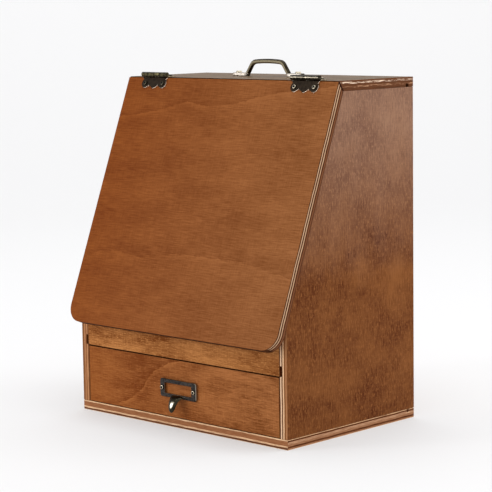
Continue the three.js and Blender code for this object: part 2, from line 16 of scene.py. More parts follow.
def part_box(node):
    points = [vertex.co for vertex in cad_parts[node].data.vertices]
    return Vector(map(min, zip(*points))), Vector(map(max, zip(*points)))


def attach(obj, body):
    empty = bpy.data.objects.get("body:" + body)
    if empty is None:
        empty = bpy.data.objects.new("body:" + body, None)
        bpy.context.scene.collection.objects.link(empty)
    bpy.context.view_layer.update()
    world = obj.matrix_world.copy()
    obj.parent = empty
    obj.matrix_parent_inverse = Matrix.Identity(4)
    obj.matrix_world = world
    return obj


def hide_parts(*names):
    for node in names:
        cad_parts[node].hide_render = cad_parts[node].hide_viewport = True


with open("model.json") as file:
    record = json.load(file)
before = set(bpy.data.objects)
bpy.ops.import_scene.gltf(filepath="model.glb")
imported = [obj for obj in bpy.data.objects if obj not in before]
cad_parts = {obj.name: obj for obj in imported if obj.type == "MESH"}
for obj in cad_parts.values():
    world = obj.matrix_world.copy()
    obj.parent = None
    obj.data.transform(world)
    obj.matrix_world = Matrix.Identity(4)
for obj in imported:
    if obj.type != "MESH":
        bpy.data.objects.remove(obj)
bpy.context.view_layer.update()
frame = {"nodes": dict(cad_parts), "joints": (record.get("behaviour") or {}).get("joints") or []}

nodes = frame["nodes"]

# %% [markdown]
# ## Units and colours
# Plans for furniture are drawn in millimetres, and Blender works in metres. Paint charts give sRGB hex
# values, and Blender's shaders add up light, so they need linear values. One function turns each into the
# other.

# %% Units, colours and one node function
MM = 0.001


def linear(hex_colour):
    """An sRGB hex colour as linear RGBA."""
    shades = [int(hex_colour[i : i + 2], 16) / 255 for i in (1, 3, 5)]
    return tuple(s / 12.92 if s <= 0.04045 else ((s + 0.055) / 1.055) ** 2.4 for s in shades) + (1.0,)


def add_node(tree, kind, inputs=None, **settings):
    """Adds a shader node. inputs maps a socket to a number, a colour or another node's output."""
    made = tree.nodes.new("ShaderNode" + kind)
    for key, value in settings.items():
        setattr(made, key, value)
    for key, value in (inputs or {}).items():
        if isinstance(value, bpy.types.NodeSocket):
            tree.links.new(value, made.inputs[key])
        else:
            made.inputs[key].default_value = value
    return made


print("brown stain, linear:", [round(c, 3) for c in linear("#8A4A20")])

# %% [markdown]
# ## The camera
# The box is seen from its front right corner, a little above the top. A long lens from 1.75 metres keeps
# the upright edges nearly parallel. The small roll is how the camera was held.

# %% Place the camera
CAMERA_AT = Vector((1201.5, -1252.8, 383.2)) * MM
CAMERA_YAW = math.radians(43.74)
CAMERA_PITCH = math.radians(7.34)
CAMERA_ROLL = math.radians(-0.84)
SENSOR_WIDTH = 36  # millimetres, which every camera takes its focal length from
FOCAL_LENGTH = 136.4
BOX_MIDDLE = Vector((0, 0, 0.16))

forward = Vector((-math.sin(CAMERA_YAW), math.cos(CAMERA_YAW), 0)) * math.cos(CAMERA_PITCH)
forward.z = -math.sin(CAMERA_PITCH)
right = Vector((math.cos(CAMERA_YAW), math.sin(CAMERA_YAW), 0))
up = right.cross(forward)
lens = bpy.data.cameras.new("camera")
lens.lens = FOCAL_LENGTH
lens.sensor_width = SENSOR_WIDTH
camera = bpy.data.objects.new("camera", lens)
camera_turn = Matrix((right, up, -forward)).transposed() @ Matrix.Rotation(CAMERA_ROLL, 3, "Z")
camera.matrix_world = Matrix.Translation(CAMERA_AT) @ camera_turn.to_4x4()
bpy.context.collection.objects.link(camera)
bpy.context.scene.camera = camera
print("camera", round((CAMERA_AT - BOX_MIDDLE).length, 3), "m from the box")

# %% [markdown]
# ## The studio
# A product table is a sheet of opal white acrylic that sweeps up behind the object, so no horizon shows. It
# is matt, so the box has no mirror image in it. Lamps under the sheet make it glow, a little more up the
# wall than underfoot, which thins the shadows round the base. The sheet is one strip of faces, bent round a
# quarter circle.

# %% Floor sweep
SWEEP_FRONT = -4.0
SWEEP_HALF_WIDTH = 4.0
SWEEP_START = 1.6
SWEEP_RADIUS = 1.2
SWEEP_STEPS = 12
WALL_TOP = 4.0


def white_sweep():
    """A floor that curves up into a wall, as one strip across the camera's view."""
    mesh = bmesh.new()
    profile = [(SWEEP_FRONT, 0.0), (SWEEP_START, 0.0)]
    for step in range(1, SWEEP_STEPS + 1):
        angle = step / SWEEP_STEPS * math.pi / 2
        profile.append((SWEEP_START + SWEEP_RADIUS * math.sin(angle), SWEEP_RADIUS * (1 - math.cos(angle))))
    profile.append((SWEEP_START + SWEEP_RADIUS, WALL_TOP))
    away = Vector((forward.x, forward.y, 0)).normalized()
    rows = []
    for distance, height in profile:
        ends = [away * distance + right * side * SWEEP_HALF_WIDTH for side in (-1, 1)]
        rows.append([mesh.verts.new((p.x, p.y, height)) for p in ends])
    for low, high in zip(rows, rows[1:]):
        mesh.faces.new((low[0], low[1], high[1], high[0]))
    data = bpy.data.meshes.new("paper_sweep")
    mesh.to_mesh(data)
    mesh.free()
    data.polygons.foreach_set("use_smooth", [True] * len(data.polygons))
    strip = bpy.data.objects.new("paper_sweep", data)
    bpy.context.collection.objects.link(strip)
    return strip


WHITE = (1, 1, 1, 1)
FLOOR_GLOW, WALL_GLOW = 0.35, 0.42
acrylic = bpy.data.materials.new("white_acrylic_light_table")
acrylic.use_nodes = True
acrylic_tree = acrylic.node_tree
acrylic_skin = acrylic_tree.nodes["Principled BSDF"]
height = add_node(acrylic_tree, "SeparateXYZ", {0: add_node(acrylic_tree, "TexCoord").outputs["Object"]})
rise = {"Value": height.outputs[2], "From Max": SWEEP_RADIUS / 2, "To Min": FLOOR_GLOW, "To Max": WALL_GLOW}
glow = add_node(acrylic_tree, "MapRange", rise).outputs[0]
acrylic_tree.links.new(glow, acrylic_skin.inputs["Emission Strength"])
acrylic_skin.inputs["Base Color"].default_value = linear("#BCBCBD")
acrylic_skin.inputs["Roughness"].default_value = 0.9
acrylic_skin.inputs["Specular IOR Level"].default_value = 0.1
acrylic_skin.inputs["Emission Color"].default_value = WHITE
sweep = white_sweep()
sweep.data.materials.append(acrylic)
print("sweep faces:", len(sweep.data.polygons))

# %% [markdown]
# ### The lights
# The room is white, so it lights the box from all round. A soft light overhead does the rest. A smaller one
# at the front left picks out the castings, and a panel at the back right lays a grey sheen on the upper
# part of the side, as a window would.

# %% Room and lights
ROOM_LIGHT = 0.71
world = bpy.data.worlds.new("white_room")
bpy.context.scene.world = world
world.use_nodes = True
world.node_tree.nodes["Background"].inputs["Color"].default_value = WHITE
world.node_tree.nodes["Background"].inputs["Strength"].default_value = ROOM_LIGHT


def softbox(name, place, size, watts, aim=(0, 0, 0.15)):
    """A rectangular area light that faces the box."""
    light = bpy.data.lights.new(name, "AREA")
    light.shape = "RECTANGLE"
    light.size, light.size_y = size
    light.energy = watts
    lamp = bpy.data.objects.new(name, light)
    lamp.location = place
    lamp.rotation_euler = (Vector(aim) - Vector(place)).to_track_quat("-Z", "Y").to_euler()
    bpy.context.collection.objects.link(lamp)


softbox("key_front_left", (-1.15, -1.75, 0.75), (0.5, 0.5), 10)
softbox("ceiling", (0.0, 0.2, 3.0), (3.5, 3.5), 55)
softbox("panel_back_right", (1.0, 0.85, 0.62), (0.8, 0.5), 4, (0.13, 0, 0.25))
bpy.context.scene.view_settings.view_transform = "Standard"

# %% [markdown]
# ## Stained plywood
# Plywood is a stack of veneers glued with their grain crossed. Its faces show one rotary-cut veneer, here a
# pale wood under a brown stain and a satin lacquer. Its edges show the whole stack: a veneer seen along the
# grain stays pale, and one seen on its end grain drinks the stain and goes dark. The shader therefore needs
# to know where it is in the board: along the grain, across it, and down from the outer face. Each board
# gives an origin on that face and the directions, and the surface's own direction tells a face from an
# edge, and both from the worn corner between them.

# %% Coordinates in one board
def board_axes(tree, origin, grain, through):
    """The place in a board, in metres along the grain, across it and down from its outer face."""
    place = add_node(tree, "TexCoord")
    grain, through = Vector(grain), Vector(through)
    local = add_node(tree, "VectorMath", {0: place.outputs["Object"], 1: origin}, operation="SUBTRACT")
    axes = {}
    for name, axis in (("along", grain), ("across", through.cross(grain)), ("down", -through)):
        reach = add_node(tree, "VectorMath", {0: local.outputs[0], 1: axis}, operation="DOT_PRODUCT")
        axes[name] = reach.outputs["Value"]
    for name, axis in (("faces", through), ("ends", grain)):
        dot = add_node(tree, "VectorMath", {0: place.outputs["Normal"], 1: axis}, operation="DOT_PRODUCT")
        axes[name] = add_node(tree, "Math", {0: dot.outputs["Value"]}, operation="ABSOLUTE").outputs[0]
    spot = add_node(tree, "CombineXYZ", {0: axes["along"], 1: axes["across"], 2: axes["down"]})
    axes["spot"] = spot.outputs[0]
    axes["place"], axes["normal"] = place.outputs["Object"], place.outputs["Normal"]
    return axes


def pattern(tree, spot, size_mm, detail=2.0, roughness=0.5, seed=0.0):
    """Noise from 0 to 1 whose features measure size_mm along the grain, across it and through the board."""
    per_metre = [1000 / s for s in size_mm]
    scaled = add_node(tree, "VectorMath", {0: spot, 1: per_metre}, operation="MULTIPLY").outputs[0]
    moved = add_node(tree, "VectorMath", {0: scaled, 1: (seed, seed, seed)}, operation="ADD").outputs[0]
    look = {"Vector": moved, "Scale": 1.0, "Detail": detail, "Roughness": roughness}
    return add_node(tree, "TexNoise", look).outputs["Fac"]


def weigh(tree, parts):
    """The sum of (value, weight) pairs."""
    total = 0.0
    for value, weight in parts:
        total = add_node(tree, "Math", {0: value, 1: weight, 2: total}, operation="MULTIPLY_ADD").outputs[0]
    return total


print("a board gives its origin, its grain and the way through it")

# %% [markdown]
# ### The face veneer
# Stain sits unevenly in a rotary-cut face: broad cloudy patches, streaks along the grain, faint marks
# across it where the knife chattered, and short pale flecks where the rays come to the surface. The real
# streaks are about 0.3 mm wide, too fine to show at this distance, so they are drawn about 1 mm wide. All
# of it is one number from dark to light, which then picks a colour between the board's two tones.

# %% Face pattern
CLOUD_MM = (75, 24, 24)
STREAK_MM = (15, 0.95, 4)
CHATTER_MM = (0.95, 14, 14)
FLECK_MM = (3.4, 1.0, 3)
FLECK_FROM, FLECK_FULL = 0.56, 0.72
CONTRAST = 1.8


def face_shade(tree, axes, seed, options):
    """0 where the stain is darkest, to 1 where palest. Options weigh and size what shows in it."""
    cloudy, streaked = options.get("cloudy", 0.8), options.get("streaked", 1.1)
    flecked, chattered = options.get("flecked", 0.2), options.get("chattered", 0.45)
    cloud = pattern(tree, axes["spot"], options.get("cloud_mm", CLOUD_MM), 3.0, 0.6, seed)
    streak = pattern(tree, axes["spot"], options.get("streak_mm", STREAK_MM), 3.0, 0.65, seed + 3)
    chatter = pattern(tree, axes["spot"], CHATTER_MM, 2.0, 0.6, seed + 7)
    fleck = pattern(tree, axes["spot"], options.get("fleck_mm", FLECK_MM), 2.0, 0.6, seed + 9)
    shows = {"Value": fleck, "From Min": FLECK_FROM, "From Max": FLECK_FULL}
    pale = add_node(tree, "MapRange", shows).outputs[0]
    wood = weigh(tree, [(cloud, cloudy), (streak, streaked), (chatter, chattered), (pale, flecked)])
    middle = (cloudy + streaked + chattered) / 2
    return weigh(tree, [(wood, CONTRAST), (0.5 - middle * CONTRAST, 1.0)]), streak


print("streaks are drawn", STREAK_MM[1], "mm wide and", STREAK_MM[0], "mm long")

# %% [markdown]
# ### Bars of figure
# Where the log's fibres are wavy the knife meets them now more and now less end on, and the stain takes
# unevenly in soft bars across the grain. They are drawn as a curve through a few points, which wanders a
# little.

# %% Bars of figure
BAR_WAVER_MM = (60, 50, 45)
BAR_SHIFT = 40 * MM
BAR_STRENGTH = 1.1
BARS_FULL, BARS_FAINT = -30 * MM, 20 * MM  # across the board, towards its back and its front
FAINT = 0.25


def drawn(tree, value, low_mm, high_mm, points):
    """A smooth curve through (mm, height from 0 to 1) points, read at value."""
    share = add_node(tree, "MapRange", {"Value": value, "From Min": low_mm * MM, "From Max": high_mm * MM})
    plotted = add_node(tree, "FloatCurve", {"Value": share.outputs[0]})
    curve = plotted.mapping.curves[0]
    places = [((mm - low_mm) / (high_mm - low_mm), height) for mm, height in points]
    for point, place in zip(curve.points, (places[0], places[-1])):
        point.location = place
    for place in places[1:-1]:
        curve.points.new(*place)
    plotted.mapping.update()
    return plotted.outputs[0]


def figure_bars(tree, axes, shade, bars, seed):
    """Adds soft bars to shade, strongest at the back. bars is (mm along, height), and 0.5 changes nothing."""
    waver = pattern(tree, axes["spot"], BAR_WAVER_MM, 1.0, 0.5, seed)
    along = weigh(tree, [(axes["along"], 1.0), (waver, BAR_SHIFT), (-BAR_SHIFT / 2, 1.0)])
    bar = drawn(tree, along, bars[0][0], bars[-1][0], bars)
    level = add_node(tree, "Math", {0: bar, 1: 0.5}, operation="SUBTRACT").outputs[0]
    depth = {"Value": axes["across"], "From Min": BARS_FAINT, "From Max": BARS_FULL, "To Min": FAINT}
    back = add_node(tree, "MapRange", depth).outputs[0]
    part = add_node(tree, "Math", {0: level, 1: back}, operation="MULTIPLY").outputs[0]
    return weigh(tree, [(part, BAR_STRENGTH), (shade, 1.0)])


print("bars wander by up to", BAR_SHIFT / 2, "m")

# %% [markdown]
# ### Growth lines
# A rotary knife peels the log like a scroll, so where it crosses a growth ring the ring's edge wanders over
# the whole sheet as one soft line: dark late wood on one side and pale early wood, drawn out in wisps, on
# the other. A curve through a few points is the line, and a ramp of greys across it is its dark and its
# pale side.

# %% Growth lines
LINE_HALF_MM, LINE_REACH_MM = 134, 250  # half a line's length, and the furthest across the board that it goes
RING_WAVER_MM = (9, 6, 9)
RING_WAVER = 7.0
RING_BELOW, RING_ABOVE = -6.5, 17.5  # millimetres across the board, on the two sides of the line
RING_LEVELS = [(0.18, 0.5), (0.38, 0.95), (0.42, 0.12), (0.62, 0.4)]
UNCHANGED = 0.5
GAP_MM = (24, 12, 24)
GAP_FROM, GAP_TO = 0.4, 0.62


def growth_line(tree, axes, shade, line, seed, strength):
    """Adds a ring's edge to shade. line is (mm along, mm across) points."""
    points = [(along, across / LINE_REACH_MM) for along, across in line]
    edge = drawn(tree, axes["along"], -LINE_HALF_MM, LINE_HALF_MM, points)
    waver = pattern(tree, axes["spot"], RING_WAVER_MM, 3.0, 0.6, seed)
    above = weigh(tree, [(axes["across"], 1000.0), (edge, -LINE_REACH_MM), (waver, RING_WAVER)])
    share = add_node(tree, "MapRange", {"Value": above, "From Min": RING_BELOW, "From Max": RING_ABOVE})
    ring = add_node(tree, "ValToRGB", {0: share.outputs[0]})
    ramp = ring.color_ramp
    for place, level in RING_LEVELS:
        ramp.elements.new(place).color = (level, level, level, 1)
    for element in (ramp.elements[0], ramp.elements[-1]):
        element.color = (UNCHANGED, UNCHANGED, UNCHANGED, 1)
    gaps = pattern(tree, axes["spot"], GAP_MM, 2.0, 0.5, seed + 2)
    gaps = {"Value": gaps, "From Min": GAP_FROM, "From Max": GAP_TO, "To Min": FAINT}
    broken = add_node(tree, "MapRange", gaps)
    level = add_node(tree, "Math", {0: ring.outputs[0], 1: UNCHANGED}, operation="SUBTRACT").outputs[0]
    part = add_node(tree, "Math", {0: level, 1: broken.outputs[0]}, operation="MULTIPLY").outputs[0]
    return weigh(tree, [(part, strength), (shade, 1.0)])


print("a growth line is", RING_ABOVE - RING_BELOW, "mm wide with its wisps")

# %% [markdown]
# ### The edge
# Sanding the edges by hand rubs the stain off the hard veneers and off the sharp corners, so they are the
# palest parts of the box. The bands waver a little, because each veneer is a slightly different thickness
# along its length, and the rubbed places come and go. In a colour Mix node, socket 0 is the factor, sockets
# 6 and 7 are the two colours, and output 2 is the result.

# %% Edge colour
GLUE_LINE = 0.1  # millimetres, over which one veneer's colour turns to the next one's
EDGE_WAVER_MM = (22, 22, 200)
EDGE_SHIFT = 0.03  # of the board's thickness
RUBBED_MM = (9, 9, 0.9)


def band_ramp(tree, depth, bands):
    """A colour for each veneer, from the outer face down. bands are (thickness in mm, hex colour)."""
    total = sum(thickness for thickness, _ in bands)
    node = add_node(tree, "ValToRGB", {0: depth})
    soft = GLUE_LINE / total
    stops = []
    top = 0.0
    for thickness, shade in bands:
        bottom = top + thickness / total
        stops += [(top + soft, shade), (bottom - soft, shade)]
        top = bottom
    while len(node.color_ramp.elements) < len(stops):
        node.color_ramp.elements.new(0.5)
    for element, (position, shade) in zip(node.color_ramp.elements, stops):
        element.position = min(max(position, 0.0), 1.0)
        element.color = linear(shade)
    return node.outputs[0]


def edge_colour(tree, axes, thickness, long_bands, end_bands, stain, stained, seed):
    """The stack of veneers along the grain and on end grain. stained is how much the stain hides of it."""
    waver = pattern(tree, axes["spot"], EDGE_WAVER_MM, 3.0, 0.5, seed + 11)
    wander = {"Value": waver, "From Min": 0.3, "From Max": 0.7, "To Min": -EDGE_SHIFT, "To Max": EDGE_SHIFT}
    shift = add_node(tree, "MapRange", wander).outputs[0]
    depth = weigh(tree, [(axes["down"], 1 / thickness), (shift, 1.0)])
    on_end = add_node(tree, "MapRange", {"Value": axes["ends"], "From Min": 0.4, "From Max": 0.6}).outputs[0]
    stacks = {0: on_end, 6: band_ramp(tree, depth, long_bands), 7: band_ramp(tree, depth, end_bands)}
    bands = add_node(tree, "Mix", stacks, data_type="RGBA").outputs[2]
    rubbed = pattern(tree, axes["spot"], RUBBED_MM, 3.0, 0.65, seed + 13)
    cover = {"Value": rubbed, "From Min": 0.4, "From Max": 0.6, "To Min": stained, "To Max": 0.0}
    hidden = add_node(tree, "MapRange", cover).outputs[0]
    return add_node(tree, "Mix", {0: hidden, 6: bands, 7: linear(stain)}, data_type="RGBA").outputs[2]


print("the rubbed places are about", RUBBED_MM[0], "mm long")

# %% [markdown]
# ### The mitre and the lacquer
# The lid and the top board meet in a mitre, and the stain has soaked into its cut faces and the seam
# between them. The lacquer is thin and satin: roughness about 0.45 on the faces and rougher on the bare
# edges, with wood's index of refraction of 1.5. How much of the gloss is left differs from board to board,
# because the stain was wiped back.

# %% Mitre and lacquer
SEAM, SEAM_END = 1.1 * MM, 1.6 * MM
FLAT_FROM, FLAT_FULL = 0.9, 0.96  # how far the surface's direction agrees with the board's
WOOD_IOR = 1.5
WIPED_GLOSS = 0.04
EDGE_ROUGHNESS = 0.7
FACE_DULL, FACE_SATIN = 0.52, 0.42
LACQUER_MM = (60, 30, 30)
LACQUER_SHIFT = 0.12
LACQUER_FROM, LACQUER_FULL = 0.2, 0.36  # metres up the grain
PORE_DEPTH = 0.05 * MM


def mitre_parts(tree, axes, joint, direction):
    """How near the surface is to the mitre's plane, and how far it faces the way the plane does."""
    away = add_node(tree, "VectorMath", {0: axes["place"], 1: joint}, operation="SUBTRACT").outputs[0]
    away = add_node(tree, "VectorMath", {0: away, 1: direction}, operation="DOT_PRODUCT").outputs["Value"]
    away = add_node(tree, "Math", {0: away}, operation="ABSOLUTE").outputs[0]
    near = {"Value": away, "From Min": SEAM, "From Max": SEAM_END, "To Min": 1.0, "To Max": 0.0}
    facing = add_node(tree, "VectorMath", {0: axes["normal"], 1: direction}, operation="DOT_PRODUCT")
    facing = add_node(tree, "Math", {0: facing.outputs["Value"]}, operation="ABSOLUTE").outputs[0]
    agrees = {"Value": facing, "From Min": FLAT_FROM, "From Max": FLAT_FULL}
    return add_node(tree, "MapRange", near).outputs[0], add_node(tree, "MapRange", agrees).outputs[0]


def lacquer_gloss(tree, axes, skin, streak, is_edge, seed, options):
    """Satin lacquer on the faces and bare wood on the edges."""
    dull = {"Value": streak, "From Min": 0.3, "From Max": 0.7, "To Min": FACE_DULL, "To Max": FACE_SATIN}
    satin = add_node(tree, "MapRange", dull).outputs[0]
    rough = add_node(tree, "Mix", {0: is_edge, 2: satin, 3: EDGE_ROUGHNESS}).outputs[0]
    tree.links.new(rough, skin.inputs["Roughness"])
    skin.inputs["IOR"].default_value = WOOD_IOR
    skin.inputs["Specular IOR Level"].default_value = WIPED_GLOSS
    if "gloss" in options:
        low, high = options["gloss"]
        patch = pattern(tree, axes["spot"], LACQUER_MM, 3.0, 0.6, seed)
        lacquer = weigh(tree, [(axes["along"], 1.0), (patch, LACQUER_SHIFT)])
        left = {"Value": lacquer, "From Min": LACQUER_FROM, "From Max": LACQUER_FULL}
        left = add_node(tree, "MapRange", left | {"To Min": low, "To Max": high})
        tree.links.new(left.outputs[0], skin.inputs["Specular IOR Level"])
    pores = add_node(tree, "Bump", {"Strength": 0.3, "Distance": PORE_DEPTH, "Height": streak})
    tree.links.new(pores.outputs[0], skin.inputs["Normal"])


print("satin roughness:", FACE_SATIN, "to", FACE_DULL, "and on the edges", EDGE_ROUGHNESS)

# %% [markdown]
# ### The whole board
# The face, the edge and the worn corner between them are three colours, and the surface's direction picks
# one. On the two boards with a mitre, its cut face is a fourth.

# %% Stained plywood material
BOARD = 9 * MM
SOAKED_STAIN = "#2E1206"
WORN_MM = (16, 16, 16)
BARE_FROM, BARE_FULL = 0.36, 0.6
EDGE_FROM, EDGE_FULL = 0.4, 0.3


def plywood(name, board, tones, long_bands, end_bands, stain, seed, **options):
    """One board's plywood under stain. board is (origin, grain, through) and tones are dark, light, arris."""
    dark, light, arris_tone = [linear(tone) for tone in tones]
    material = bpy.data.materials.new(name)
    material.use_nodes = True
    tree = material.node_tree
    axes = board_axes(tree, *board)
    shade, streak = face_shade(tree, axes, seed, options)
    if "figure" in options:
        shade = figure_bars(tree, axes, shade, options["figure"], seed + 23)
    for number, line in enumerate(options.get("rings", [])):
        shade = growth_line(tree, axes, shade, line, seed + number * 5, options.get("ringed", 1.15))
    face = add_node(tree, "Mix", {0: shade, 6: dark, 7: light}, data_type="RGBA").outputs[2]
    # The far tones are a painted sheen on the lid and the right side, and a change of stain elsewhere.
    if "far" in options:
        far_dark, far_light = [linear(tone) for tone in options["far"]]
        cool = add_node(tree, "Mix", {0: shade, 6: far_dark, 7: far_light}, data_type="RGBA").outputs[2]
        start, end = options.get("fade", (-0.14, 0.14))
        fade = add_node(tree, "MapRange", {"Value": axes["along"], "From Min": start, "From Max": end})
        face = add_node(tree, "Mix", {0: fade.outputs[0], 6: face, 7: cool}, data_type="RGBA").outputs[2]
    thickness, stained = options.get("thickness", BOARD), options.get("stained", 0.45)
    edge = edge_colour(tree, axes, thickness, long_bands, end_bands, stain, stained, seed)
    soaked = linear(SOAKED_STAIN)
    if "mitre" in options:
        seam, cut = mitre_parts(tree, axes, *options["mitre"])
        edge = add_node(tree, "Mix", {0: seam, 6: edge, 7: soaked}, data_type="RGBA").outputs[2]
    worn = pattern(tree, axes["spot"], WORN_MM, 3.0, 0.65, seed + 17)
    start, end = options.get("wear", (BARE_FROM, BARE_FULL))
    bare = add_node(tree, "MapRange", {"Value": worn, "From Min": start, "From Max": end}).outputs[0]
    arris = add_node(tree, "Mix", {0: bare, 6: linear(stain), 7: arris_tone}, data_type="RGBA").outputs[2]
    flat = {"Value": axes["faces"], "From Min": FLAT_FROM, "From Max": FLAT_FULL}
    is_face = add_node(tree, "MapRange", flat).outputs[0]
    upright = {"Value": axes["faces"], "From Min": EDGE_FROM, "From Max": EDGE_FULL}
    is_edge = add_node(tree, "MapRange", upright).outputs[0]
    colour = add_node(tree, "Mix", {0: is_face, 6: arris, 7: face}, data_type="RGBA").outputs[2]
    colour = add_node(tree, "Mix", {0: is_edge, 6: colour, 7: edge}, data_type="RGBA").outputs[2]
    if "mitre" in options:
        colour = add_node(tree, "Mix", {0: cut, 6: colour, 7: soaked}, data_type="RGBA").outputs[2]
    skin = tree.nodes["Principled BSDF"]
    tree.links.new(colour, skin.inputs["Base Color"])
    lacquer_gloss(tree, axes, skin, streak, is_edge, seed, options)
    return material


print("bare corners are drawn about", WORN_MM[0], "mm long, and pores", PORE_DEPTH, "m deep")

# %% [markdown]
# ### Where the lid is
# The lid slopes, so its coordinates start from its own foot. The hinge's axis is known from the joint, and
# the lid lies under it: out by the pin's offset, and down the slope by its length. The mitre between the
# lid and the top board is the plane that halves the angle between them.

# %% The lid's place and the mitre
X, Y, Z = Vector((1, 0, 0)), Vector((0, 1, 0)), Vector((0, 0, 1))
LID_SLOPE = math.radians(21.15)
LID_LENGTH = 244.25 * MM
PIN_OFFSET = 2.4 * MM

hinge_at = Vector(next(j["pos_m"] for j in frame["joints"] if j["name"] == "lid_hinge"))
lid_out = Vector((0, -math.cos(LID_SLOPE), math.sin(LID_SLOPE)))
lid_up = Vector((0, math.sin(LID_SLOPE), math.cos(LID_SLOPE)))
pin_to_apex = PIN_OFFSET * math.tan((math.pi / 2 - LID_SLOPE) / 2)
lid_foot = hinge_at - lid_out * PIN_OFFSET - lid_up * (pin_to_apex + LID_LENGTH)


def outer(node, axis, low):
    """A point on the node's low or high side along an axis."""
    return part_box(node)[0 if low else 1].dot(axis) * axis


mitre_angle = (math.pi / 2 + LID_SLOPE) / 2
mitre = (lid_foot + lid_up * LID_LENGTH, Vector((0, math.sin(mitre_angle), math.cos(mitre_angle))))
print("lid's foot:", [round(c, 4) for c in lid_foot])
print("mitre:", round(math.degrees(mitre_angle), 1), "degrees")

# %% [markdown]
# ### The veneers on each edge
# Each list is one edge, from the outer face down, with each veneer's thickness in millimetres and its
# colour. The colours alternate as the grain does, and they differ from edge to edge, because each was
# sanded and wiped by hand. The edges that nobody sanded stay soaked with stain all through.

# %% Edge veneers
BROWN, PALE = "#7E4A2A", "#DCA877"
SOAKED = [(9, "#5A2408")]
TOP_END = [(9, "#2A1308")]
LID_EDGE = [
    (1.0, "#260E04"), (1.2, "#D6B08C"), (1.5, "#32140A"), (1.2, "#D2AC88"), (1.6, "#46200C"),
    (1.4, "#7A4E34"), (1.1, "#54301C"),
]
RIGHT_EDGE = [
    (0.5, BROWN), (1.4, "#B47E56"), (1.7, "#84522D"), (1.5, "#F2C69C"), (1.3, "#5A3016"), (1.5, "#F0CAA6"),
    (1.1, "#54280F"),
]
LEFT_EDGE = [
    (0.5, BROWN), (2.4, "#8A5A36"), (2.0, "#BE865C"), (1.1, "#88542F"), (1.8, "#CC9468"), (1.2, BROWN),
]
BASE_FRONT = [(1.0, "#F8D0A8"), (4.4, "#A26C48"), (1.5, "#F2C69C"), (2.1, "#5C3622")]
BASE_SIDE = [
    (0.5, PALE), (1.5, "#54290F"), (2.0, "#C49674"), (1.8, "#AC7C5A"), (1.5, "#54290F"), (1.7, "#A87856"),
]
TOP_SIDE = [(1.4, "#6C452C"), (1.6, "#FBDCC0"), (1.9, "#5E3A24"), (1.5, "#B48664"), (2.6, "#563420")]
print("the lid's veneers:", len(LID_EDGE), "in", round(sum(thickness for thickness, _ in LID_EDGE), 1), "mm")

# %% [markdown]
# ### Where the rings and bars run
# A ring is a few points in millimetres along and across the grain, from the middle of the box and from the
# foot of the board. The bars on the side are heights above the base, and how pale the wood is there.

# %% Rings and bars
DRAWER_RING = [(-134, 6), (-80, 14), (-53, 29), (-38, 46), (-17, 58), (30, 68), (134, 80)]
TOP_RING = [(-134, 204), (-76, 213), (-44, 221), (-30, 218), (15, 221), (51, 229), (134, 240)]
LOW_RING = [(-134, 62), (-100, 72), (-58, 69), (-29, 74), (42, 75), (80, 73), (134, 65)]
SIDE_BARS = [
    (0, 0.5), (35, 0.46), (60, 0.57), (92, 0.4), (118, 0.62), (136, 0.7), (156, 0.38), (185, 0.5),
    (317, 0.55),
]
print("points in the rings:", [len(ring) for ring in (DRAWER_RING, TOP_RING, LOW_RING)])
